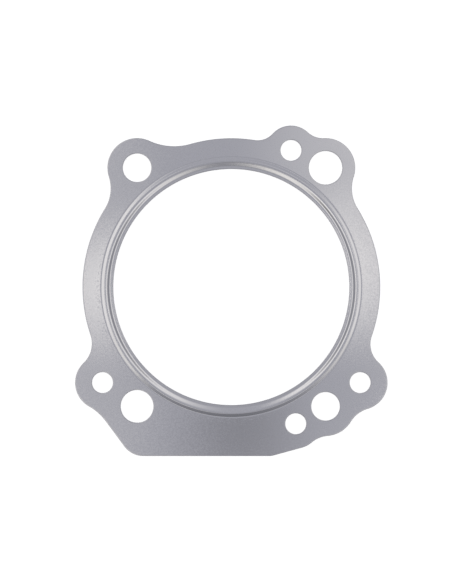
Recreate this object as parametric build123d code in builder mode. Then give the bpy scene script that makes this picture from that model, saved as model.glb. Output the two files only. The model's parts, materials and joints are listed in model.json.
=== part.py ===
from build123d import *
import math
import os

os.makedirs("parts", exist_ok=True)

# A cylinder head gasket blanked from one sheet of steel, with a bead pressed up around the bore.
# Sizes are in millimetres. The sheet lies on its back with the bead up, and the origin is
# the centre of the bore on that back. Left, right, top and bottom are as seen from above.

# Sheet steel. Blanking breaks the upper edge of every cut a little.
sheet_thickness = 0.5
edge_break = 0.06

# Bore of the cylinder, the flat lip around it and the bead outside the lip, between its folds.
# The bead rises gently from the lip over a wide bend and drops off more steeply on the outside.
bore_diameter = 99.0
lip_width = 1.3
inner_flank_width = 1.63
crown_width = 0.79
outer_flank_width = 1.17
bead_height = 0.35
inner_foot_bend = 5.0
inner_crown_bend = 6.5
outer_crown_bend = 0.6
outer_foot_bend = 1.0

# Plain ring from the edge of the bore to the round part of the outline
ring_width = 12.85

# Rectangle of four cylinder studs. Two go through with clearance, and two carry a ring dowel.
stud_spacing_x = 79.0
stud_spacing_y = 100.0
stud_hole_diameter = 12.0
top_dowel_hole_diameter = 14.1
bottom_dowel_hole_diameter = 13.75

# Small bolts beside the studs, each placed from the stud that it stands next to
bolt_hole_diameter = 8.8
top_bolt_inset = 14.5
bottom_bolt_inset = 12.5
end_bolt_reach = 7.3
side_bolt_reach = 14.5
side_bolt_inset = 9.95

# Round ears around the holes
stud_ear_radius = 12.4
end_bolt_ear_radius = 10.35
side_bolt_ear_radius = 11.45

# Foot of the outline at the bottom left: a straight base and a slanted side past the dowel
base_depth = 70.8
toe_offset = 16.85
toe_radius = 6.5
heel_radius = 9.9
side_wall = 14.25
side_angle = 126.5

# Hollows that blend each round of the outline into the next, counterclockwise from the right
ring_to_top_right = 15.6
top_right_to_top = 9.4
top_to_ring = 8.6
ring_to_top_left = 24.9
top_left_to_ring = 16.1
ring_to_left = 11.2
left_to_foot = 22.9
bottom_to_stud = 12.0
stud_to_right = 12.5
right_to_ring = 10.3

# Places of the holes
stud_x = stud_spacing_x / 2
stud_y = stud_spacing_y / 2
bore_centre = Vector(0, 0)
top_left_stud = Vector(-stud_x, stud_y)
top_right_dowel = Vector(stud_x, stud_y)
bottom_left_dowel = Vector(-stud_x, -stud_y)
bottom_right_stud = Vector(stud_x, -stud_y)
top_bolt = top_right_dowel + Vector(-top_bolt_inset, end_bolt_reach)
bottom_bolt = bottom_right_stud + Vector(-bottom_bolt_inset, -end_bolt_reach)
left_bolt = bottom_left_dowel + Vector(-side_bolt_reach, side_bolt_inset)
right_bolt = bottom_right_stud + Vector(side_bolt_reach, side_bolt_inset)

# Rounds of the outline, each as its centre and radius
bore_radius = bore_diameter / 2
ring = (bore_centre, bore_radius + ring_width)
top_left_ear = (top_left_stud, stud_ear_radius)
top_right_ear = (top_right_dowel, stud_ear_radius)
bottom_right_ear = (bottom_right_stud, stud_ear_radius)
top_ear = (top_bolt, end_bolt_ear_radius)
bottom_ear = (bottom_bolt, end_bolt_ear_radius)
left_ear = (left_bolt, side_bolt_ear_radius)
right_ear = (right_bolt, side_bolt_ear_radius)
rounds = [
    ring,
    top_left_ear,
    top_right_ear,
    bottom_right_ear,
    top_ear,
    bottom_ear,
    left_ear,
    right_ear,
]


def corner_between(first, second):
    """Point where one round of the outline gives way to the next, counterclockwise."""
    first_centre, first_radius = first
    second_centre, second_radius = second
    span = second_centre - first_centre
    along = (first_radius**2 - second_radius**2 + span.length**2) / (2 * span.length)
    across = math.sqrt(first_radius**2 - along**2)
    direction = span.normalized()
    return first_centre + direction * along + direction.rotate(Axis.Z, -90) * across


def tangent_point(start, round_outline):
    """Point where a line from start touches a round, with the round on the line's left."""
    round_centre, round_radius = round_outline
    span = round_centre - start
    lean = math.degrees(math.asin(round_radius / span.length))
    reach = math.sqrt(span.length**2 - round_radius**2)
    return start + span.normalized().rotate(Axis.Z, -lean) * reach


# The slanted side passes the bottom left dowel at a set distance and ends beside the left bolt.
# It meets the base at the heel. The base ends at the toe and rises to touch the bottom ear.
side_direction = Vector(1, 0).rotate(Axis.Z, side_angle)
side_near_dowel = bottom_left_dowel + side_direction.rotate(Axis.Z, 90) * side_wall
side_near_bolt = side_near_dowel + side_direction * (left_bolt - side_near_dowel).dot(side_direction)
heel = side_near_dowel - side_direction * ((side_near_dowel.Y + base_depth) / side_direction.Y)
toe = Vector(toe_offset, -base_depth)
toe_line_end = tangent_point(toe, bottom_ear)

# Corners of the merged outline and the radius that each one gets
corners = [
    (corner_between(ring, top_right_ear), ring_to_top_right),
    (corner_between(top_right_ear, top_ear), top_right_to_top),
    (corner_between(top_ear, ring), top_to_ring),
    (corner_between(ring, top_left_ear), ring_to_top_left),
    (corner_between(top_left_ear, ring), top_left_to_ring),
    (corner_between(ring, left_ear), ring_to_left),
    (side_near_bolt, left_to_foot),
    (heel, heel_radius),
    (toe, toe_radius),
    (corner_between(bottom_ear, bottom_right_ear), bottom_to_stud),
    (corner_between(bottom_right_ear, right_ear), stud_to_right),
    (corner_between(right_ear, ring), right_to_ring),
]

# Folds of the lip and the bead, along the middle of the sheet: radius, height and bend radius.
# Outside the bead the section runs on flat for as far as the lip does inside it.
middle = sheet_thickness / 2
bead_inner_radius = bore_radius + lip_width
crown_inner_radius = bead_inner_radius + inner_flank_width
crown_outer_radius = crown_inner_radius + crown_width
bead_outer_radius = crown_outer_radius + outer_flank_width
section_end_radius = bead_outer_radius + lip_width
folds = [
    (bead_inner_radius, middle, inner_foot_bend),
    (crown_inner_radius, middle + bead_height, inner_crown_bend),
    (crown_outer_radius, middle + bead_height, outer_crown_bend),
    (bead_outer_radius, middle, outer_foot_bend),
]

with BuildPart() as gasket_sheet:
    # Flat blank: the foot, the ring and the ears merged, with their corners blended
    with BuildSketch() as blank:
        Polygon(bore_centre, side_near_bolt, heel, toe, toe_line_end, align=None)
        for round_centre, round_radius in rounds:
            with Locations(round_centre):
                Circle(round_radius)
        for corner, blend_radius in corners:
            fillet(blank.vertices().sort_by_distance(corner)[0], blend_radius)
        Circle(section_end_radius, mode=Mode.SUBTRACT)
    extrude(amount=sheet_thickness)

    # Lip and bead: the sheet folded up and down again at constant thickness, all round the bore
    with BuildSketch(Plane.XZ):
        with BuildLine() as section:
            fold_points = [(radius, height) for radius, height, bend in folds]
            Polyline((bore_radius, middle), *fold_points, (section_end_radius, middle))
            for radius, height, bend in folds:
                fold = section.vertices().sort_by_distance((radius, height))[0]
                fillet(fold, bend)
        trace(line_width=sheet_thickness)
    revolve(axis=Axis.Z)

    # Holes for the studs, the ring dowels and the small bolts
    with Locations(top_left_stud, bottom_right_stud):
        Hole(stud_hole_diameter / 2)
    with Locations(top_right_dowel):
        Hole(top_dowel_hole_diameter / 2)
    with Locations(bottom_left_dowel):
        Hole(bottom_dowel_hole_diameter / 2)
    with Locations(top_bolt, bottom_bolt, left_bolt, right_bolt):
        Hole(bolt_hole_diameter / 2)

    # Broken upper edges, where the sheet was cut: the bore, the outline and every hole, but not
    # the fold of the bead, which is the longest rim inside the land. The lip and the land are the
    # two flat faces on top, apart from the crown of the bead.
    lowest, highest = sheet_thickness - edge_break, sheet_thickness + edge_break
    flat_faces = gasket_sheet.faces().filter_by(Plane.XY)
    lip, land = flat_faces.filter_by_position(Axis.Z, lowest, highest).sort_by(SortBy.AREA)
    cut_edges = land.outer_wire().edges() + lip.inner_wires()[0].edges()
    for hole_rim in land.inner_wires().sort_by(SortBy.LENGTH)[:-1]:
        cut_edges += hole_rim.edges()
    chamfer(cut_edges, edge_break)

gasket_sheet.part.label = "gasket_sheet"
export_step(gasket_sheet.part, "parts/gasket_sheet.step")
print("gasket_sheet", gasket_sheet.part.bounding_box().size, "volume", gasket_sheet.part.volume)
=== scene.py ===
"""Looks of a cylinder head gasket: one sheet of rolled steel, blanked to its outline and pierced
for studs, dowels and bolts, with a bead pressed up round the bore of the cylinder."""

import json
import logging
import math
from dataclasses import dataclass, field, fields
from enum import Enum, IntEnum
from functools import partial, reduce
from typing import Any, Optional, Union

import bmesh
import bpy
from bpy.types import Material, Mesh, Node, NodeSocket, NodeTree, Object
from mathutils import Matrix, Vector


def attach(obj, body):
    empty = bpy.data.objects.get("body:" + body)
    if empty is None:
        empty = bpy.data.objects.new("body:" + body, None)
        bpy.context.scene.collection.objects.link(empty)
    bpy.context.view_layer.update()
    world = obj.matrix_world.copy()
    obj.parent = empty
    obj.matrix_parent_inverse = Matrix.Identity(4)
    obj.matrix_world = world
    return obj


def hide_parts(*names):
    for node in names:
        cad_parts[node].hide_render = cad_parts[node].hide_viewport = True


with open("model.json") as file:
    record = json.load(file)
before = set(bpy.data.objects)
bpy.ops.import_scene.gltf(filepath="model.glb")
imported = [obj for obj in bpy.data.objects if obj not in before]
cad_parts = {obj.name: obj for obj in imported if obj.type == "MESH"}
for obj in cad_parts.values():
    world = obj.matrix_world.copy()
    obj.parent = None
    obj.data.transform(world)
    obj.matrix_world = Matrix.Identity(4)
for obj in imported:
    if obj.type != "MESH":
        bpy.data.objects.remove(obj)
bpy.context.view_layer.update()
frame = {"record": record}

SHEET_NODE = "gasket_sheet"
BODY = "root"
MM = 0.001
WHITE = (1.0, 1.0, 1.0, 1.0)

log = logging.getLogger("gasket")


class Corner(Enum):
    """How one run of the outline gives way to the next."""

    HOLLOW = "blended by an arc that bends inwards"
    KNUCKLE = "rounded by an arc that bends outwards"
    TOUCH = "already tangent"


class Side(IntEnum):
    """Side of the camera that a panel of light stands on, as the sign of its X."""

    LEFT = -1
    RIGHT = 1


Value = Union[NodeSocket, float, tuple, str, bool, Object, Material]


def show(made: Object) -> Object:
    """Puts an object into the scene."""
    bpy.context.scene.collection.objects.link(made)
    return made


def numbers(shape: type) -> dict[str, str]:
    """Declares a socket for each number of a dataclass."""
    return {number.name: "Float" for number in fields(shape)}


class NodeBench:
    """Adds nodes to a tree and links them, for Geometry Nodes and for shaders alike."""

    tree_type = "ShaderNodeTree"
    entry: Any = None
    exit: Any = None

    def __init__(self, tree: NodeTree) -> None:
        """Takes up the tree to work in."""
        self.tree = tree

    @classmethod
    def group(cls, name: str, inputs: dict[str, str], outputs: dict[str, str]) -> "NodeBench":
        """Starts a node group with named sockets.

        Args:
            name: Name of the group.
            inputs: Kind of each input, such as Float, by its name.
            outputs: Kind of each output by its name.

        Returns:
            A bench for the new group, with its inputs as entry and its outputs as exit.
        """
        bench = cls(bpy.data.node_groups.new(name, cls.tree_type))
        for way, sockets in (("INPUT", inputs), ("OUTPUT", outputs)):
            for label, kind in sockets.items():
                bench.tree.interface.new_socket(label, in_out=way, socket_type="NodeSocket" + kind)
        bench.entry = bench.tree.nodes.new("NodeGroupInput").outputs
        bench.exit = bench.tree.nodes.new("NodeGroupOutput").inputs
        return bench

    def give(self, socket: NodeSocket, value: Value) -> None:
        """Links a socket to an input, or sets the input to a plain value.

        Args:
            socket: The input to fill.
            value: A socket to link from, or the value to set.
        """
        if isinstance(value, NodeSocket):
            self.tree.links.new(value, socket)
        else:
            socket.default_value = value

    def fill(self, sockets: Any, values: dict) -> None:
        """Gives a value to each of several inputs, by name or by number."""
        for name, value in values.items():
            self.give(sockets[name], value)

    def add(self, kind: str, inputs: Optional[dict] = None, **settings: Any) -> Node:
        """Adds a node.

        Args:
            kind: Type of the node.
            inputs: Values or sockets for its inputs, by name or by number.
            settings: Its other settings.

        Returns:
            The new node.
        """
        node = self.tree.nodes.new(kind)
        for name, setting in settings.items():
            setattr(node, name, setting)
        self.fill(node.inputs, inputs or {})
        return node

    def make(self, kind: str, inputs: Optional[dict] = None, **settings: Any) -> NodeSocket:
        """Adds a node and returns its first output."""
        return self.add(kind, inputs, **settings).outputs[0]

    def math(self, operation: str, *values: Value) -> NodeSocket:
        """Adds a Math node and returns its result."""
        return self.make("ShaderNodeMath", dict(enumerate(values)), operation=operation)

    def chain(self, operation: str, *values: Value) -> NodeSocket:
        """Takes one operation through any number of values, as for a sum."""
        return reduce(partial(self.math, operation), values)

    def vector(self, operation: str, *values: Value) -> NodeSocket:
        """Adds a Vector Math node and returns its vector."""
        return self.make("ShaderNodeVectorMath", dict(enumerate(values)), operation=operation)

    def scale(self, vector: Value, factor: Value) -> NodeSocket:
        """Multiplies a vector by a number."""
        return self.make("ShaderNodeVectorMath", {0: vector, "Scale": factor}, operation="SCALE")

    def combine(self, x: Value = 0.0, y: Value = 0.0, z: Value = 0.0) -> NodeSocket:
        """Makes a vector from its three parts."""
        return self.make("ShaderNodeCombineXYZ", {"X": x, "Y": y, "Z": z})

    def ramp(
        self, value: Value, low: Value, high: Value, start: Value = 0.0, end: Value = 1.0
    ) -> NodeSocket:
        """Maps a value smoothly from low..high to start..end, with no change before and past these."""
        inputs = {"Value": value, "From Min": low, "From Max": high, "To Min": start, "To Max": end}
        return self.make("ShaderNodeMapRange", inputs, interpolation_type="SMOOTHSTEP")

    def mix_colours(self, factor: Value, first: Value, second: Value) -> NodeSocket:
        """Blends two colours, from the first at factor 0 to the second at factor 1."""
        inputs = {"Factor": factor, 6: first, 7: second}
        return self.add("ShaderNodeMix", inputs, data_type="RGBA").outputs[2]


class CurveBench(NodeBench):
    """A bench with the steps that make sheet metal out of curves."""

    tree_type = "GeometryNodeTree"

    def join(self, *parts: NodeSocket) -> NodeSocket:
        """Joins geometries into one.

        Args:
            parts: The geometries.

        Returns:
            All of them together.
        """
        node = self.add("GeometryNodeJoinGeometry")
        for part in parts:
            self.tree.links.new(part, node.inputs[0])
        return node.outputs[0]

    def circle(self, steps: Value, radius: Value) -> NodeSocket:
        """Draws a circle about the axis of the bore, counterclockwise."""
        inputs = {"Resolution": steps, "Radius": radius}
        return self.make("GeometryNodeCurvePrimitiveCircle", inputs, mode="RADIUS")

    def reverse(self, curve: NodeSocket) -> NodeSocket:
        """Turns the direction of travel round."""
        return self.make("GeometryNodeReverseCurve", {"Curve": curve})

    def upright(self, curve: NodeSocket) -> NodeSocket:
        """Keeps the normals of a curve level, so that a profile stands upright on it."""
        return self.make("GeometryNodeSetCurveNormal", {"Curve": curve}, mode="Z_UP")

    def sweep(self, curve: NodeSocket, profile: NodeSocket) -> NodeSocket:
        """Carries a profile along a curve and returns the skin that it leaves."""
        return self.make("GeometryNodeCurveToMesh", {"Curve": curve, "Profile Curve": profile})

    def move(self, geometry: NodeSocket, **change: Value) -> NodeSocket:
        """Moves, turns or scales a geometry by Translation, Rotation and Scale."""
        return self.make("GeometryNodeTransform", {"Geometry": geometry, **change})

    def shift(self, geometry: NodeSocket, offset: NodeSocket) -> NodeSocket:
        """Moves each point by its own offset."""
        return self.make("GeometryNodeSetPosition", {"Geometry": geometry, "Offset": offset})

    def along_normals(self, distance: Value) -> NodeSocket:
        """Offset of a distance along each point's normal."""
        return self.scale(self.make("GeometryNodeInputNormal"), distance)

    def number(self, name: str) -> NodeSocket:
        """A number that the points carry, by its name."""
        return self.make("GeometryNodeInputNamedAttribute", {"Name": name}, data_type="FLOAT")

    def mark(self, curve: NodeSocket, start: float, end: float) -> NodeSocket:
        """Writes onto a curve how much painted shade darkens its points near the cut.

        Args:
            curve: The curve.
            start: Number at its first point.
            end: Number at its last point.

        Returns:
            The curve with the number "cut_edge" on its points.
        """
        along = self.make("GeometryNodeSplineParameter")
        amount = self.math("MULTIPLY_ADD", along, end - start, start)
        inputs = {"Geometry": curve, "Name": "cut_edge", "Value": amount}
        return self.make("GeometryNodeStoreNamedAttribute", inputs, domain="POINT")

    def line(self, start: NodeSocket, end: NodeSocket, near: float, far: float) -> NodeSocket:
        """Draws a straight line whose "cut_edge" goes from near to far."""
        drawn = self.make("GeometryNodeCurvePrimitiveLine", {"Start": start, "End": end})
        return self.mark(drawn, near, far)


@dataclass(frozen=True)
class Round:
    """A round of the outline: a circle that the outline follows for a part of its way."""

    centre: Vector
    radius: float

    def moved_out(self, distance: float) -> "Round":
        """The same round, with its edge moved outwards."""
        return Round(self.centre, self.radius + distance)

    def touch(self, point: Vector) -> Vector:
        """Place on the round that is nearest to a point."""
        return self.centre + (point - self.centre).normalized() * self.radius


@dataclass(frozen=True)
class Straight:
    """A straight run of the outline."""

    start: Vector
    end: Vector

    @property
    def direction(self) -> Vector:
        """Direction of travel."""
        return (self.end - self.start).normalized()

    def moved_out(self, distance: float) -> "Straight":
        """The same run, moved to the right of travel, which is outwards."""
        outwards = Vector((self.direction.y, -self.direction.x)) * distance
        return Straight(self.start + outwards, self.end + outwards)

    def touch(self, point: Vector) -> Vector:
        """Place on the run that is nearest to a point."""
        return self.start + self.direction * (point - self.start).dot(self.direction)


Run = Union[Round, Straight]


def meeting(first: Run, second: Run) -> Vector:
    """Finds where the outline leaves one run for the next, counterclockwise.

    Args:
        first: The run that the outline comes along.
        second: The run that it goes on along: any run after a straight one that is straight too,
            or any run after a round.

    Returns:
        The crossing of the two.
    """
    if isinstance(first, Straight):
        across = second.direction.orthogonal()
        share = (second.start - first.start).dot(across) / first.direction.dot(across)
        return first.start + first.direction * share
    if isinstance(second, Straight):
        foot = second.touch(first.centre)
        reach = math.sqrt(first.radius**2 - (foot - first.centre).length_squared)
        return foot + second.direction * reach
    span = second.centre - first.centre
    along = (first.radius**2 - second.radius**2 + span.length_squared) / (2 * span.length)
    across = math.sqrt(first.radius**2 - along**2)
    direction = span.normalized()
    return first.centre + direction * along + Vector((direction.y, -direction.x)) * across


def arc_points(centre: Vector, start: Vector, end: Vector, turn: int, chord_error: float) -> list[Vector]:
    """Divides an arc so that its chords stay close to it.

    Args:
        centre: Centre of the arc.
        start: Its first point.
        end: Its last point.
        turn: 1 for counterclockwise and -1 for clockwise.
        chord_error: Most that the middle of a chord may lie off the arc.

    Returns:
        The points of the arc, without the last one.
    """
    radius = (start - centre).length
    begin = math.atan2(start.y - centre.y, start.x - centre.x)
    finish = math.atan2(end.y - centre.y, end.x - centre.x)
    sweep = turn * ((turn * (finish - begin)) % math.tau)
    largest_step = 2 * math.acos(1 - chord_error / radius)
    count = max(2, math.ceil(abs(sweep) / largest_step))
    angles = (begin + sweep * i / count for i in range(count))
    return [centre + Vector((math.cos(a), math.sin(a))) * radius for a in angles]


@dataclass
class HolePattern:
    """The bore and the holes of the sheet, as the record of the part places them."""

    mounts: list = field(default_factory=lambda: frame["record"]["mounts"])

    def mount(self, name: str) -> Round:
        """One round hole of the record, in metres."""
        found = next(m for m in self.mounts if m["name"] == name)
        return Round(Vector(found["pos_m"][:2]), found["dims"]["r_mm"] * MM)

    @property
    def bore(self) -> Round:
        """Bore of the cylinder."""
        return self.mount("cylinder_bore")

    @property
    def thickness(self) -> float:
        """Thickness of the sheet: the height of its upper face."""
        return next(m for m in self.mounts if m["name"] == "head_face")["pos_m"][2]

    def pierced(self) -> list[Round]:
        """All the holes but the bore."""
        names = [m["name"] for m in self.mounts if m["name"].endswith("_hole")]
        return [self.mount(name) for name in names]


@dataclass
class Outline:
    """Outline of the sheet: rounds about the bore and the holes, a straight foot at the bottom
    left, and a hollow wherever one round gives way to the next."""

    holes: HolePattern
    ring_width: float = 12.85 * MM
    stud_ear: float = 12.4 * MM
    end_bolt_ear: float = 10.35 * MM
    side_bolt_ear: float = 11.45 * MM
    base_depth: float = 70.8 * MM
    toe_offset: float = 16.85 * MM
    toe_radius: float = 6.5 * MM
    heel_radius: float = 9.9 * MM
    side_wall: float = 14.25 * MM
    side_angle: float = math.radians(126.5)
    ring_to_top_right: float = 15.6 * MM
    top_right_to_top: float = 9.4 * MM
    top_to_ring: float = 8.6 * MM
    ring_to_top_left: float = 24.9 * MM
    top_left_to_ring: float = 16.1 * MM
    ring_to_left: float = 11.2 * MM
    left_to_foot: float = 22.9 * MM
    bottom_to_stud: float = 12.0 * MM
    stud_to_right: float = 12.5 * MM
    right_to_ring: float = 10.3 * MM
    chord_error: float = 0.002 * MM

    def ear(self, mount: str, radius: float) -> Round:
        """Round ear of a radius about one hole."""
        return Round(self.holes.mount(mount).centre, radius)

    def foot(self, left_ear: Round, bottom_ear: Round) -> tuple[Straight, Straight, Straight]:
        """Lays out the foot at the bottom left.

        Args:
            left_ear: Ear about the left bolt, which the slanted side starts beside.
            bottom_ear: Ear about the bottom bolt, which the toe's line touches.

        Returns:
            The slanted side, the base and the toe's line.
        """
        dowel = self.holes.mount("bottom_left_dowel_hole").centre
        down_side = -Vector((math.cos(self.side_angle), math.sin(self.side_angle)))
        beside_dowel = dowel + Vector((down_side.y, -down_side.x)) * self.side_wall
        side_line = Straight(beside_dowel, beside_dowel + down_side)
        side_start = side_line.touch(left_ear.centre)
        heel = beside_dowel - down_side * ((beside_dowel.y + self.base_depth) / down_side.y)
        toe = Vector((self.toe_offset, -self.base_depth))
        span = bottom_ear.centre - toe
        lean = math.asin(bottom_ear.radius / span.length)
        reach = math.sqrt(span.length_squared - bottom_ear.radius**2)
        heading = math.atan2(span.y, span.x) - lean
        toe_end = toe + Vector((math.cos(heading), math.sin(heading))) * reach
        return Straight(side_start, heel), Straight(heel, toe), Straight(toe, toe_end)

    def runs(self) -> list[tuple[Run, Corner, float]]:
        """Lists the runs of the outline, counterclockwise from the right of the ring.

        Returns:
            Each run, with the kind and the radius of the corner at its end.
        """
        ring = Round(self.holes.bore.centre, self.holes.bore.radius + self.ring_width)
        top_right = self.ear("top_right_dowel_hole", self.stud_ear)
        top = self.ear("top_bolt_hole", self.end_bolt_ear)
        top_left = self.ear("top_left_stud_hole", self.stud_ear)
        left = self.ear("left_bolt_hole", self.side_bolt_ear)
        bottom = self.ear("bottom_bolt_hole", self.end_bolt_ear)
        bottom_right = self.ear("bottom_right_stud_hole", self.stud_ear)
        right = self.ear("right_bolt_hole", self.side_bolt_ear)
        side, base, toe_line = self.foot(left, bottom)
        return [
            (ring, Corner.HOLLOW, self.ring_to_top_right),
            (top_right, Corner.HOLLOW, self.top_right_to_top),
            (top, Corner.HOLLOW, self.top_to_ring),
            (ring, Corner.HOLLOW, self.ring_to_top_left),
            (top_left, Corner.HOLLOW, self.top_left_to_ring),
            (ring, Corner.HOLLOW, self.ring_to_left),
            (left, Corner.HOLLOW, self.left_to_foot),
            (side, Corner.KNUCKLE, self.heel_radius),
            (base, Corner.KNUCKLE, self.toe_radius),
            (toe_line, Corner.TOUCH, 0.0),
            (bottom, Corner.HOLLOW, self.bottom_to_stud),
            (bottom_right, Corner.HOLLOW, self.stud_to_right),
            (right, Corner.HOLLOW, self.right_to_ring),
        ]

    def points(self) -> list[Vector]:
        """Draws the whole outline.

        Returns:
            Its points, counterclockwise.
        """
        runs = self.runs()
        corners = []
        for (run, corner, radius), (following, _, _) in zip(runs, runs[1:] + runs[:1]):
            if corner is Corner.TOUCH:
                corners.append((run.end, None, 0, run.end))
                continue
            turn = -1 if corner is Corner.HOLLOW else 1
            shift = -turn * radius
            centre = meeting(run.moved_out(shift), following.moved_out(shift))
            corners.append((run.touch(centre), centre, turn, following.touch(centre)))
        points = []
        for i, (run, _, _) in enumerate(runs):
            arrival = corners[i - 1][3]
            departure, centre, turn, onward = corners[i]
            if isinstance(run, Round):
                points += arc_points(run.centre, arrival, departure, 1, self.chord_error)
            else:
                points.append(arrival)
            if centre is not None:
                points += arc_points(centre, departure, onward, turn, self.chord_error)
        return points


@dataclass
class BeadSection:
    """Section of the lip and the bead, along the middle of the sheet, from the bore outwards. The
    bead rises gently from the lip over a wide bend, and drops off more steeply on the outside."""

    bore_radius: float
    thickness: float
    lip_width: float = 1.3 * MM
    inner_flank_width: float = 1.63 * MM
    crown_width: float = 0.79 * MM
    outer_flank_width: float = 1.17 * MM
    bead_height: float = 0.35 * MM
    inner_foot_bend: float = 5.0 * MM
    inner_crown_bend: float = 6.5 * MM
    outer_crown_bend: float = 0.6 * MM
    outer_foot_bend: float = 1.0 * MM

    @property
    def outer_radius(self) -> float:
        """Radius of the outer fold."""
        bead_width = self.inner_flank_width + self.crown_width + self.outer_flank_width
        return self.bore_radius + self.lip_width + bead_width

    def fold_line(self, start: float, end: float) -> list[tuple[float, float, float]]:
        """Folds of the sheet between two radii.

        Args:
            start: Radius at which the line starts, on the lip.
            end: Radius at which it ends, on the flat land.

        Returns:
            Radius, height and bend radius of each fold, and of the two ends.
        """
        middle = self.thickness / 2
        crown = middle + self.bead_height
        inner_fold = self.bore_radius + self.lip_width
        outer_fold = self.outer_radius
        return [
            (start, middle, 0.0),
            (inner_fold, middle, self.inner_foot_bend),
            (inner_fold + self.inner_flank_width, crown, self.inner_crown_bend),
            (outer_fold - self.outer_flank_width, crown, self.outer_crown_bend),
            (outer_fold, middle, self.outer_foot_bend),
            (end, middle, 0.0),
        ]


@dataclass(frozen=True)
class Pressing:
    """What pressing the bead does to the flat of the sheet, too slight to be modelled: a groove
    round the foot of the bead and a faint dish outside it."""

    groove_radius: float
    groove_width: float = 1.1 * MM
    groove_lean: float = 0.08
    dish_radius: float = 57.8 * MM
    dish_rate: float = 0.575


@dataclass
class SteelNodes:
    """Node groups of the steel, and what its finishes have in common."""

    grain_detail: float = 1.0
    grain_roughness: float = 0.4
    darkest_grain: float = 0.3
    palest_grain: float = 0.7
    grain: NodeTree = field(init=False)
    pressed_flat: NodeTree = field(init=False)

    def __post_init__(self) -> None:
        """Builds the groups."""
        self.grain = self.grain_group()
        self.pressed_flat = self.pressed_group()

    def grain_group(self) -> NodeTree:
        """Builds the grain of the metal.

        Returns:
            The group, which puts out an even speckle of tone, and a normal that wavers with it.
        """
        inputs = {"position": "Vector", "size": "Float", "waver": "Float"}
        bench = NodeBench.group("steel_grain", inputs, {"tone": "Float", "normal": "Vector"})
        noise = bench.add(
            "ShaderNodeTexNoise",
            {
                "Vector": bench.entry["position"],
                "Scale": bench.math("DIVIDE", 1.0, bench.entry["size"]),
                "Detail": self.grain_detail,
                "Roughness": self.grain_roughness,
            },
        ).outputs
        tone = bench.ramp(noise["Fac"], self.darkest_grain, self.palest_grain)
        centred = bench.vector("SUBTRACT", noise["Color"], (0.5, 0.5, 0.5))
        normal = bench.add("ShaderNodeNewGeometry").outputs["Normal"]
        wavered = bench.vector("ADD", normal, bench.scale(centred, bench.entry["waver"]))
        bench.fill(bench.exit, {"tone": tone, "normal": bench.vector("NORMALIZE", wavered)})
        return bench.tree

    @staticmethod
    def pressed_group() -> NodeTree:
        """Builds the groove and the dish of the pressing.

        Returns:
            The group, which leans the normal inwards in the groove, and ever more out in the dish.
        """
        inputs = {"position": "Vector", "normal": "Vector", **numbers(Pressing)}
        bench = NodeBench.group("pressed_flat", inputs, {"normal": "Vector"})
        outwards = bench.vector("MULTIPLY", bench.entry["position"], (1.0, 1.0, 0.0))
        radius = bench.add("ShaderNodeVectorMath", {0: outwards}, operation="LENGTH").outputs["Value"]
        off = bench.math("ABSOLUTE", bench.math("SUBTRACT", radius, bench.entry["groove_radius"]))
        half_width = bench.math("MULTIPLY", bench.entry["groove_width"], 0.5)
        in_groove = bench.ramp(off, 0.0, half_width, 1.0, 0.0)
        groove_lean = bench.math("MULTIPLY", in_groove, bench.entry["groove_lean"])
        past_foot = bench.math("MAXIMUM", bench.math("SUBTRACT", radius, bench.entry["dish_radius"]), 0.0)
        lean = bench.math("MULTIPLY_ADD", past_foot, bench.entry["dish_rate"], groove_lean)
        direction = bench.vector("NORMALIZE", outwards)
        inwards = bench.scale(direction, bench.math("MULTIPLY", lean, -1.0))
        leaned = bench.vector("ADD", bench.entry["normal"], inwards)
        bench.give(bench.exit["normal"], bench.vector("NORMALIZE", leaned))
        return bench.tree

    def start(self, name: str, grain_size: float, waver: float) -> tuple[Material, NodeBench, dict]:
        """Starts a steel: a material with its grain placed.

        Args:
            name: Name of the material.
            grain_size: Size of the grain.
            waver: How far the normal wavers with it.

        Returns:
            The material, its bench, and the position, tone and normal of each point by name.
        """
        material = bpy.data.materials.new(name)
        material.use_nodes = True
        bench = NodeBench(material.node_tree)
        position = bench.add("ShaderNodeTexCoord").outputs["Object"]
        inputs = {"position": position, "size": grain_size, "waver": waver}
        grain = bench.add("ShaderNodeGroup", inputs, node_tree=self.grain).outputs
        return material, bench, {"position": position, **dict(grain.items())}

    @staticmethod
    def finish(material: Material, bench: NodeBench, looks: dict) -> Material:
        """Gives a steel that was started its colour, its roughness and its normal."""
        bench.fill(material.node_tree.nodes["Principled BSDF"].inputs, {"Metallic": 1.0, **looks})
        return material


@dataclass(frozen=True)
class RolledSteel:
    """Finish of the sheet: cold-rolled and bright, with an even grain, and painted shade darkening the
    cut rims.
    """

    pressing: Pressing
    colour: tuple = (0.62, 0.62, 0.645, 1.0)
    speck_colour: tuple = (0.6, 0.6, 0.627, 1.0)
    # Colour of the painted shade along the cut rims
    rim_colour: tuple = (0.36, 0.36, 0.375, 1.0)
    roughness: float = 0.06
    grain_size: float = 0.7 * MM
    grain_waver: float = 0.014

    def build(self, shared: SteelNodes) -> Material:
        """Makes the material.

        Args:
            shared: The node groups of the steel.

        Returns:
            The material of the faces.
        """
        name = "rolled_sheet_steel"
        material, bench, grain = shared.start(name, self.grain_size, self.grain_waver)
        inputs = {"position": grain["position"], "normal": grain["normal"], **vars(self.pressing)}
        pressed = bench.make("ShaderNodeGroup", inputs, node_tree=shared.pressed_flat)
        metal = bench.mix_colours(grain["tone"], self.colour, self.speck_colour)
        # Painted shade: the metal darkens towards each cut rim
        cut_edge = bench.add("ShaderNodeAttribute", attribute_name="cut_edge").outputs["Fac"]
        colour = bench.mix_colours(cut_edge, metal, self.rim_colour)
        looks = {"Base Color": colour, "Roughness": self.roughness, "Normal": pressed}
        return shared.finish(material, bench, looks)


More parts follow.
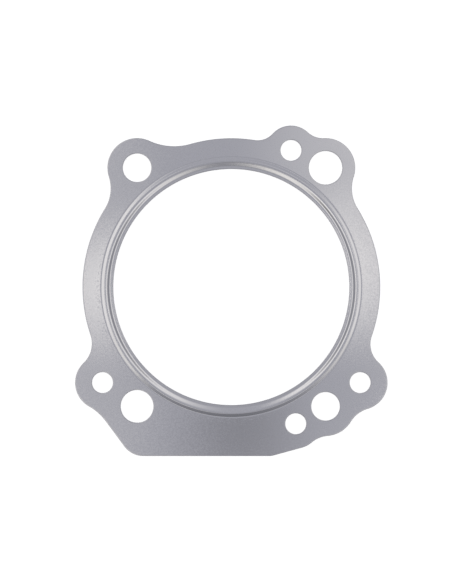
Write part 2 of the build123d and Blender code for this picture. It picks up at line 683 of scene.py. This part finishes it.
@dataclass(frozen=True)
class ShearedSteel:
    """Finish of the cut walls: bright where the punch sheared them, torn and dull below."""

    thickness: float
    sheared_colour: tuple = (0.5, 0.5, 0.52, 1.0)
    torn_colour: tuple = (0.32, 0.32, 0.33, 1.0)
    sheared_share: float = 0.4
    ragged_share: float = 0.2
    soft_share: float = 0.04
    sheared_roughness: float = 0.25
    torn_roughness: float = 0.5
    grain_size: float = 0.12 * MM
    grain_waver: float = 0.5

    def build(self, shared: SteelNodes) -> Material:
        """Makes the material.

        Args:
            shared: The node groups of the steel.

        Returns:
            The material of the walls.
        """
        material, bench, grain = shared.start("sheared_steel", self.grain_size, self.grain_waver)
        # The grain makes the line between the sheared and the torn part ragged
        height = bench.add("ShaderNodeSeparateXYZ", {"Vector": grain["position"]}).outputs["Z"]
        ragged = self.ragged_share * self.thickness
        level = bench.math("MULTIPLY_ADD", grain["tone"], ragged, height)
        line = (1 - self.sheared_share) * self.thickness + ragged / 2
        soft = self.soft_share * self.thickness
        torn = bench.ramp(level, line - soft, line + soft, 1.0, 0.0)
        metal = bench.mix_colours(torn, self.sheared_colour, self.torn_colour)
        rough = bench.ramp(torn, 0.0, 1.0, self.sheared_roughness, self.torn_roughness)
        looks = {"Base Color": metal, "Roughness": rough, "Normal": grain["normal"]}
        return shared.finish(material, bench, looks)


@dataclass
class StampedSheet:
    """The gasket itself: every cut of the sheet gets a sheared wall with a rolled-over upper rim,
    the folded section runs round the bore, and the flat land fills what is left."""

    holes: HolePattern
    outline: Outline
    section: BeadSection
    rim_width: float = 0.24 * MM
    rim_depth: float = 0.06 * MM
    margin: float = 0.4 * MM
    groove_offset: float = 0.14 * MM
    round_steps: int = 360
    hole_steps: int = 120
    rim_steps: int = 9
    bend_steps: int = 14
    # Painted shade along each cut: how much it darkens the metal on the land, the rim, the wall and
    # underneath
    dull_rim: float = 0.3
    dull_shoulder: float = 1.0
    dull_foot: float = 0.6
    dull_under: float = 0.4
    weld_distance: float = 0.002 * MM
    crease_angle: float = math.radians(40)
    wall_limit: float = 0.2

    @property
    def land_radius(self) -> float:
        """Radius at which the folded section gives way to the flat land."""
        return self.section.outer_radius + self.section.lip_width

    def cut_plan(self) -> Object:
        """Draws the plan of the cuts.

        Returns:
            The outline as a loop, and a point with a radius for each hole.
        """
        loop = self.outline.points()
        rounds = self.holes.pierced()
        points = [(*p, 0.0) for p in loop] + [(*r.centre, 0.0) for r in rounds]
        edges = [(i, (i + 1) % len(loop)) for i in range(len(loop))]
        radii = [0.0] * len(loop) + [r.radius for r in rounds]
        return self.wire_object("gasket_sheet_steel", points, edges, "hole_radius", radii)

    def fold_plan(self) -> Object:
        """Draws the plan of the folds.

        Returns:
            The line of the section, with a bend radius at each fold.
        """
        start = self.holes.bore.radius + self.margin
        folds = self.section.fold_line(start, self.land_radius)
        points = [(radius, height, 0.0) for radius, height, _ in folds]
        edges = [(i, i + 1) for i in range(len(folds) - 1)]
        return self.wire_object("fold_plan", points, edges, "bend_radius", [f[2] for f in folds])

    @staticmethod
    def wire_object(
        name: str, points: list[tuple], edges: list[tuple], attribute: str, values: list[float]
    ) -> Object:
        """Makes an object of bare edges, with one number for each point.

        Args:
            name: Name of the object.
            points: Its points.
            edges: Pairs of point numbers.
            attribute: Name of the number.
            values: The number of each point.

        Returns:
            The object, linked to the scene.
        """
        mesh = bpy.data.meshes.new(name)
        mesh.from_pydata(points, edges, [])
        mesh.attributes.new(attribute, "FLOAT", "POINT").data.foreach_set("value", values)
        return show(bpy.data.objects.new(name, mesh))

    def rim_profile(self, bench: CurveBench) -> NodeSocket:
        """Draws the section of a cut edge, from the land over the rolled rim, down the wall and back
        under. Its points carry how much painted shade darkens the metal there.

        Args:
            bench: Bench of the sheet's tree.

        Returns:
            The profile, turned so that a sweep lays it on the left of travel, right way up.
        """
        thickness, margin = bench.entry["Thickness"], bench.entry["Margin"]
        width, depth = bench.entry["Rim Width"], bench.entry["Rim Depth"]
        shoulder = bench.math("SUBTRACT", thickness, depth)
        quarter = bench.make(
            "GeometryNodeCurveArc",
            {
                "Resolution": self.rim_steps,
                "Radius": 1.0,
                "Start Angle": math.pi / 2,
                "Sweep Angle": math.pi / 2,
            },
            mode="RADIUS",
        )
        rolled_rim = bench.move(
            bench.mark(quarter, self.dull_rim, self.dull_shoulder),
            Translation=bench.combine(width, shoulder),
            Scale=bench.combine(width, depth),
        )
        land, rim = bench.combine(margin, thickness), bench.combine(width, thickness)
        wall_top, foot = bench.combine(0.0, shoulder), bench.combine()
        top = bench.line(land, rim, 0.0, self.dull_rim)
        wall = bench.line(wall_top, foot, self.dull_shoulder, self.dull_foot)
        under = bench.line(foot, bench.combine(margin), self.dull_under, 0.0)
        return bench.move(bench.join(top, rolled_rim, wall, under), Rotation=(0.0, 0.0, math.pi))

    def cut_rims(self, bench: CurveBench) -> tuple[NodeSocket, NodeSocket]:
        """Turns every cut into a curve with the steel on its left, and sweeps the rims along them.

        Args:
            bench: Bench of the sheet's tree.

        Returns:
            The curves of the outline and the holes, and the rims of these and of the bore.
        """
        plan = bench.entry["Cut Plan"]
        edge = bench.make("GeometryNodeMeshToCurve", {"Mesh": plan})
        neighbours = bench.make("GeometryNodeInputMeshVertexNeighbors")
        loose = {"Mesh": plan, "Selection": bench.math("LESS_THAN", neighbours, 1.0)}
        rings = bench.make(
            "GeometryNodeInstanceOnPoints",
            {
                "Points": bench.make("GeometryNodeMeshToPoints", loose),
                "Instance": bench.circle(bench.entry["Hole Steps"], 1.0),
                "Scale": bench.number("hole_radius"),
            },
        )
        punched = bench.make("GeometryNodeRealizeInstances", {"Geometry": rings})
        outer_cuts = bench.upright(bench.join(edge, bench.reverse(punched)))
        bore = bench.circle(bench.entry["Round Steps"], bench.entry["Bore Radius"])
        all_cuts = bench.join(outer_cuts, bench.upright(bench.reverse(bore)))
        return outer_cuts, bench.sweep(all_cuts, self.rim_profile(bench))

    @staticmethod
    def flat_land(bench: CurveBench, outer_cuts: NodeSocket) -> list[NodeSocket]:
        """Fills the flat between the margins of the outer cuts and the foot of the bead.

        Args:
            bench: Bench of the sheet's tree.
            outer_cuts: Curves of the outline and the holes.

        Returns:
            The upper and the lower face.
        """
        inwards = bench.along_normals(bench.math("MULTIPLY", bench.entry["Margin"], -1.0))
        foot = bench.circle(bench.entry["Round Steps"], bench.entry["Land Radius"])
        edges = {"Curve": bench.join(bench.shift(outer_cuts, inwards), foot)}
        land = bench.make("GeometryNodeFillCurve", edges, mode="TRIANGLES")
        upper = bench.move(land, Translation=bench.combine(z=bench.entry["Thickness"]))
        return [upper, bench.make("GeometryNodeFlipFaces", {"Mesh": land})]

    @staticmethod
    def folded_bands(bench: CurveBench) -> list[NodeSocket]:
        """Rounds the folds of the section and carries both of its sides round the bore.

        Args:
            bench: Bench of the sheet's tree.

        Returns:
            The lower and the upper face of the lip and the bead.
        """
        plan = bench.add("GeometryNodeObjectInfo", {"Object": bench.entry["Fold Plan"]})
        folds = {"Mesh": plan.outputs["Geometry"]}
        bends = {
            "Curve": bench.make("GeometryNodeMeshToCurve", folds),
            "Count": bench.entry["Bend Steps"],
            "Radius": bench.number("bend_radius"),
        }
        middle = bench.upright(bench.make("GeometryNodeFilletCurve", bends, mode="POLY"))
        # The path is a circle of radius 1, so the profile lies as far inside it as it goes out
        path = bench.upright(bench.circle(bench.entry["Round Steps"], 1.0))
        bands = []
        for share in (0.5, -0.5):
            half = bench.math("MULTIPLY", bench.entry["Thickness"], share)
            side = bench.shift(middle, bench.along_normals(half))
            side = bench.move(side, Rotation=(math.pi, 0.0, 0.0), Translation=(-1.0, 0.0, 0.0))
            bands.append(bench.sweep(path, bench.reverse(side) if share > 0 else side))
        return bands

    def dress(self, bench: CurveBench, sheet: NodeSocket) -> NodeSocket:
        """Welds the skin, smooths it but for its creases, and gives its faces and walls their steel.

        Args:
            bench: Bench of the sheet's tree.
            sheet: The skin in pieces.

        Returns:
            The finished sheet.
        """
        welding = {"Geometry": sheet, "Distance": self.weld_distance}
        welded = bench.make("GeometryNodeMergeByDistance", welding)
        smooth = bench.make("GeometryNodeSetShadeSmooth", {"Geometry": welded}, domain="FACE")
        angle = bench.make("GeometryNodeInputMeshEdgeAngle")
        sharp = {
            "Geometry": smooth,
            "Selection": bench.math("GREATER_THAN", angle, self.crease_angle),
            "Shade Smooth": False,
        }
        creased = bench.make("GeometryNodeSetShadeSmooth", sharp, domain="EDGE")
        realized = bench.make("GeometryNodeRealizeInstances", {"Geometry": creased})
        faces = {"Geometry": realized, "Material": bench.entry["Face Material"]}
        normal = bench.make("GeometryNodeInputNormal")
        upwards = bench.add("ShaderNodeSeparateXYZ", {"Vector": normal}).outputs["Z"]
        steepness = bench.math("ABSOLUTE", upwards)
        walls = {
            "Geometry": bench.make("GeometryNodeSetMaterial", faces),
            "Selection": bench.math("LESS_THAN", steepness, self.wall_limit),
            "Material": bench.entry["Wall Material"],
        }
        return bench.make("GeometryNodeSetMaterial", walls)

    def tree(self, kinds: dict[str, str]) -> NodeTree:
        """Builds the tree that turns the plans into the finished sheet.

        Args:
            kinds: Kind of each input by its name, but for the plan of the cuts.

        Returns:
            The tree.
        """
        inputs = {"Cut Plan": "Geometry", **kinds}
        bench = CurveBench.group("stamped_sheet", inputs, {"Sheet": "Geometry"})
        outer_cuts, rims = self.cut_rims(bench)
        land = self.flat_land(bench, outer_cuts)
        skin = bench.join(rims, *land, *self.folded_bands(bench))
        bench.give(bench.exit["Sheet"], self.dress(bench, skin))
        return bench.tree

    def build(self) -> Object:
        """Makes the sheet, checks that it is closed, and puts it in the place of its CAD node.

        Returns:
            The finished piece.
        """
        piece, folds = self.cut_plan(), self.fold_plan()
        shared = SteelNodes()
        faces = RolledSteel(Pressing(self.section.outer_radius + self.groove_offset))
        walls = ShearedSteel(self.section.thickness)
        inputs = {
            "Fold Plan": ("Object", folds),
            "Thickness": ("Float", self.section.thickness),
            "Bore Radius": ("Float", self.holes.bore.radius),
            "Land Radius": ("Float", self.land_radius),
            "Rim Width": ("Float", self.rim_width),
            "Rim Depth": ("Float", self.rim_depth),
            "Margin": ("Float", self.margin),
            "Round Steps": ("Int", self.round_steps),
            "Hole Steps": ("Int", self.hole_steps),
            "Bend Steps": ("Int", self.bend_steps),
            "Face Material": ("Material", faces.build(shared)),
            "Wall Material": ("Material", walls.build(shared)),
        }
        modifier = piece.modifiers.new("stamp", "NODES")
        modifier.node_group = self.tree({name: kind for name, (kind, _) in inputs.items()})
        for socket in modifier.node_group.interface.items_tree:
            if socket.name in inputs:
                modifier[socket.identifier] = inputs[socket.name][1]
        evaluated = piece.evaluated_get(bpy.context.evaluated_depsgraph_get())
        mesh = bpy.data.meshes.new_from_object(evaluated)
        piece.modifiers.remove(modifier)
        wire = piece.data
        piece.data = mesh
        bpy.data.meshes.remove(wire)
        bpy.data.objects.remove(folds)
        self.inspect(mesh)
        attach(piece, BODY)
        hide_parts(SHEET_NODE)
        return piece

    @staticmethod
    def inspect(mesh: Mesh) -> None:
        """Reports the size of the sheet and how many of its edges are open.

        Args:
            mesh: The finished mesh.
        """
        checked = bmesh.new()
        checked.from_mesh(mesh)
        open_edges = sum(not e.is_manifold for e in checked.edges)
        volume = checked.calc_volume(signed=True) / MM**3
        triangles = sum(len(f.verts) - 2 for f in checked.faces)
        checked.free()
        log.info("sheet: %d triangles, %d open edges, %.1f mm3", triangles, open_edges, volume)


@dataclass(frozen=True)
class Panel:
    """A panel of light or shade overhead, with straight and slightly leaning sides.

    All places in the tent are sideways distances on a plane overhead, in reaches: the flat ring of
    the gasket mirrors the places one reach away from the middle, and the flanks of the bead those
    farther out.
    """

    side: Side
    inner: float
    outer: float
    half_length: float
    inner_slant: float
    outer_slant: float
    softness: float
    brightness: float


@dataclass(frozen=True)
class Glow:
    """A soft oval patch of light, or of shade where its brightness is below zero."""

    x: float
    y: float
    half_width: float
    half_height: float
    core: float
    brightness: float


class TentBench(NodeBench):
    """Bench of the world's tree, which gives every direction its place on the plane overhead."""

    lowest = 0.02

    def __init__(self, tree: NodeTree, reach: float) -> None:
        """Works out the place of each direction.

        Args:
            tree: The world's tree.
            reach: Sideways distance that makes one reach, at a height of 1.
        """
        super().__init__(tree)
        tree.nodes.clear()
        self.groups = {Glow: self.oval_group(), Panel: self.panel_group()}
        direction = self.add("ShaderNodeTexCoord").outputs["Generated"]
        parts = self.add("ShaderNodeSeparateXYZ", {"Vector": direction}).outputs
        self.height = parts["Z"]
        overhead = self.math("MULTIPLY", self.math("MAXIMUM", self.height, self.lowest), reach)
        self.x = self.math("DIVIDE", parts["X"], overhead)
        self.y = self.math("DIVIDE", parts["Y"], overhead)
        square = self.math("MULTIPLY", self.y, self.y)
        self.away = self.math("SQRT", self.math("MULTIPLY_ADD", self.x, self.x, square))

    @staticmethod
    def oval_group() -> NodeTree:
        """Builds a soft oval.

        Returns:
            The group, which puts out the brightness inside the oval and fades to 0 outside.
        """
        inputs = {"place_x": "Float", "place_y": "Float", **numbers(Glow)}
        bench = NodeBench.group("soft_oval", inputs, {"level": "Float"})
        across = bench.math("SUBTRACT", bench.entry["place_x"], bench.entry["x"])
        upwards = bench.math("SUBTRACT", bench.entry["place_y"], bench.entry["y"])
        across = bench.math("DIVIDE", across, bench.entry["half_width"])
        upwards = bench.math("DIVIDE", upwards, bench.entry["half_height"])
        square = bench.math("MULTIPLY", upwards, upwards)
        share = bench.math("SQRT", bench.math("MULTIPLY_ADD", across, across, square))
        mask = bench.ramp(share, bench.entry["core"], 1.0, 1.0, 0.0)
        bench.give(bench.exit["level"], bench.math("MULTIPLY", mask, bench.entry["brightness"]))
        return bench.tree

    @staticmethod
    def panel_group() -> NodeTree:
        """Builds a leaning panel.

        Returns:
            The group, which puts out the brightness inside the panel and fades to 0 outside.
        """
        inputs = {"place_x": "Float", "place_y": "Float", **numbers(Panel)}
        bench = NodeBench.group("light_panel", inputs, {"level": "Float"})
        y, soft = bench.entry["place_y"], bench.entry["softness"]
        x = bench.math("MULTIPLY", bench.entry["place_x"], bench.entry["side"])
        inner = bench.math("MULTIPLY_ADD", y, bench.entry["inner_slant"], bench.entry["inner"])
        outer = bench.math("MULTIPLY_ADD", y, bench.entry["outer_slant"], bench.entry["outer"])
        depths = (
            bench.math("SUBTRACT", x, inner),
            bench.math("SUBTRACT", outer, x),
            bench.math("SUBTRACT", bench.entry["half_length"], bench.math("ABSOLUTE", y)),
        )
        shares = [bench.ramp(depth, bench.math("MULTIPLY", soft, -1.0), soft) for depth in depths]
        bench.give(bench.exit["level"], bench.chain("MULTIPLY", *shares, bench.entry["brightness"]))
        return bench.tree

    def place(self, *shapes: Union[Glow, Panel]) -> NodeSocket:
        """Puts glows or panels in their places.

        Args:
            shapes: The glows or panels.

        Returns:
            Their brightness, added up.
        """
        levels = []
        for shape in shapes:
            inputs = {"place_x": self.x, "place_y": self.y, **vars(shape)}
            group = self.groups[type(shape)]
            levels.append(self.make("ShaderNodeGroup", inputs, node_tree=group))
        return self.chain("ADD", *levels)


@dataclass
class Studio:
    """White floor under a pale tent. Two strips and two broad panels light it from the sides, and
    a round card hides them near the camera, but for a patch of light on either side. The card has
    a round window for the lens."""

    reach: float = 0.1037
    upper_level: float = 0.553
    lower_level: float = 0.44
    horizon_level: float = 0.7
    window_dimming: float = -0.011
    share_behind: float = 0.75
    # Where each smooth change of the tent starts and where it ends
    fall: tuple = (-3.3, -2.0)
    card: tuple = (1.3, 1.38)
    window: tuple = (0.95, 1.03)
    behind_panels: tuple = (9.0, 12.0)
    horizon: tuple = (0.64, 0.4)
    cool: tuple = (0.997, 1.0, 1.075)
    warm: tuple = (1.045, 1.0, 0.88)
    floor_size: float = 30.0
    floor_drop: float = 0.02 * MM
    floor_colour: tuple = (0.8, 0.8, 0.8, 1.0)
    floor_glow: float = 0.6
    # The two strips and the two broad panels
    lights: tuple = (
        Panel(Side.RIGHT, 0.9, 2.2, 3.3, 0.0, -0.035, 0.86, 0.635),
        Panel(Side.LEFT, 0.83, 2.02, 3.3, 0.14, 0.02, 0.86, 0.87),
        Panel(Side.RIGHT, 5.85, 9.0, 6.6, 0.03, 0.0, 2.0, 0.575),
        Panel(Side.LEFT, 4.2, 9.0, 5.8, -0.14, 0.0, 1.4, 0.59),
    )
    # The dark slots between the strips and the broad panels
    slots: tuple = (
        Panel(Side.RIGHT, 2.2, 4.2, 3.4, -0.035, 0.0, 0.1, -0.17),
        Panel(Side.LEFT, 2.02, 4.2, 3.4, 0.02, 0.0, 0.1, -0.17),
    )
    # The patches of light on the card, which the flat of the sheet mirrors
    card_glows: tuple = (
        Glow(0.77, 0.135, 0.71, 0.81, 0.29, 0.64),
        Glow(-0.245, 0.027, 1.03, 0.85, 0.52, 1.48),
        Glow(-0.96, -0.06, 0.56, 2.94, 0.56, 0.064),
        Glow(2.18, 1.18, 2.19, 0.89, 0.67, 0.18),
    )
    # The gleams inside the window, which the lip and the crown mirror on either side
    lens_glints: tuple = (
        Glow(0.66, 0.156, 0.16, 0.41, 0.5, 0.91),
        Glow(-0.64, -0.08, 0.2, 0.35, 0.4, 0.5),
    )
    # The shades in the lower part of the window, on the card below it, near the card and far off
    window_shade: Glow = Glow(0.1, -0.42, 0.7, 0.55, 0.0, -0.1)
    card_shade: Glow = Glow(0.09, -0.67, 0.69, 0.93, 0.0, -0.33)
    tent_shades: tuple = (
        Glow(-0.6, -1.9, 2.54, 0.47, 0.44, -0.3),
        Glow(0.0, -5.95, 6.6, 5.05, 0.0, -0.235),
    )

    def build_world(self) -> None:
        """Makes the tent of light, which only the camera sees as plain white."""
        world = bpy.data.worlds.new("studio_tent")
        bpy.context.scene.world = world
        world.use_nodes = True
        bench = TentBench(world.node_tree, self.reach)
        past_card = bench.ramp(bench.away, *self.card)
        past_window = bench.ramp(bench.away, *self.window)
        on_card = bench.math("MULTIPLY", past_window, bench.math("SUBTRACT", 1.0, past_card))
        lights = bench.chain(
            "ADD",
            bench.math("MULTIPLY", on_card, bench.place(*self.card_glows)),
            bench.math("MULTIPLY", past_card, bench.place(*self.lights)),
            bench.place(*self.lens_glints),
        )
        in_window = bench.math("ADD", bench.place(self.window_shade), self.window_dimming)
        shades = bench.chain(
            "ADD",
            bench.math("MULTIPLY", on_card, bench.place(self.card_shade)),
            bench.math("MULTIPLY", past_card, bench.place(*self.slots)),
            bench.ramp(bench.away, *self.window, in_window, 0.0),
            bench.place(*self.tent_shades),
        )
        tent = bench.ramp(bench.y, *self.fall, self.lower_level, self.upper_level)
        tent = bench.math("ADD", tent, shades)
        # Behind the panels the tent darkens, and it is pale again down at the horizon
        steepened = bench.ramp(bench.away, *self.behind_panels, 1.0, self.share_behind)
        levels = {
            "Factor": bench.ramp(bench.height, *self.horizon),
            "A": bench.math("MULTIPLY", tent, steepened),
            "B": self.horizon_level,
        }
        tent = bench.make("ShaderNodeMix", levels, data_type="FLOAT")
        colour = bench.vector("ADD", bench.scale(self.cool, tent), bench.scale(self.warm, lights))
        glow = bench.make("ShaderNodeBackground", {"Color": colour, "Strength": 1.0})
        white = bench.make("ShaderNodeBackground", {"Color": WHITE})
        seen = bench.add("ShaderNodeLightPath").outputs["Is Camera Ray"]
        shown = bench.make("ShaderNodeMixShader", {0: seen, 1: glow, 2: white})
        bench.add("ShaderNodeOutputWorld", {"Surface": shown})

    def floor_paint(self) -> Material:
        """Paints the floor.

        Returns:
            Its material: white to the camera and in the steel but for the gasket's shadow, and
            clear from below, so that the back of the gasket shows.
        """
        material = bpy.data.materials.new("white_floor")
        material.use_nodes = True
        bench = NodeBench(material.node_tree)
        bench.tree.nodes.clear()
        paint = bench.make("ShaderNodeBsdfDiffuse", {"Color": self.floor_colour})
        glow = bench.make("ShaderNodeEmission", {"Color": WHITE, "Strength": self.floor_glow})
        lit = bench.make("ShaderNodeAddShader", {0: paint, 1: glow})
        path = bench.add("ShaderNodeLightPath").outputs
        seen = bench.math("MAXIMUM", path["Is Camera Ray"], path["Is Glossy Ray"])
        upper = bench.make("ShaderNodeMixShader", {0: seen, 1: paint, 2: lit})
        below = bench.add("ShaderNodeNewGeometry").outputs["Backfacing"]
        clear = bench.make("ShaderNodeBsdfTransparent")
        shown = bench.make("ShaderNodeMixShader", {0: below, 1: upper, 2: clear})
        bench.add("ShaderNodeOutputMaterial", {"Surface": shown})
        return material

    def build_floor(self) -> Object:
        """Lays the floor just under the gasket.

        Returns:
            The floor.
        """
        half, level = self.floor_size / 2, -self.floor_drop
        corners = [(-half, -half, level), (half, -half, level), (half, half, level), (-half, half, level)]
        mesh = bpy.data.meshes.new("floor")
        mesh.from_pydata(corners, [], [(0, 1, 2, 3)])
        mesh.materials.append(self.floor_paint())
        floor = show(bpy.data.objects.new("floor", mesh))
        return floor


@dataclass
class ViewPoint:
    """Camera straight above the gasket."""

    distance: float = 0.507
    pixel: float = 0.419 * MM
    image_height: int = 584
    centre: tuple = (-2.23 * MM, -2.08 * MM)
    sensor: float = 36.0
    clip: tuple = (0.01, 100.0)

    def build(self, top: float) -> Object:
        """Makes the camera.

        Args:
            top: Height of the face that the picture's scale is true for.

        Returns:
            The camera, which is also made the scene's own.
        """
        data = bpy.data.cameras.new("camera")
        data.sensor_width = self.sensor
        data.lens = self.sensor * self.distance / (self.image_height * self.pixel)
        data.clip_start, data.clip_end = self.clip
        camera = show(bpy.data.objects.new("camera", data))
        camera.location = (*self.centre, top + self.distance)
        bpy.context.scene.camera = camera
        return camera


def main() -> None:
    """Builds the camera, the studio and the gasket."""
    logging.basicConfig(level=logging.INFO, format="%(name)s: %(message)s")
    bpy.context.scene.view_settings.view_transform = "Standard"
    holes = HolePattern()
    section = BeadSection(holes.bore.radius, holes.thickness)
    camera = ViewPoint().build(section.thickness)
    log.info("%s looks straight down", camera.name)
    studio = Studio()
    studio.build_world()
    floor = studio.build_floor()
    log.info("%s lies under the tent", floor.name)
    sheet = StampedSheet(holes, Outline(holes), section).build()
    log.info("%s rides on %s", sheet.name, BODY)


if __name__ == "__main__":
    main()
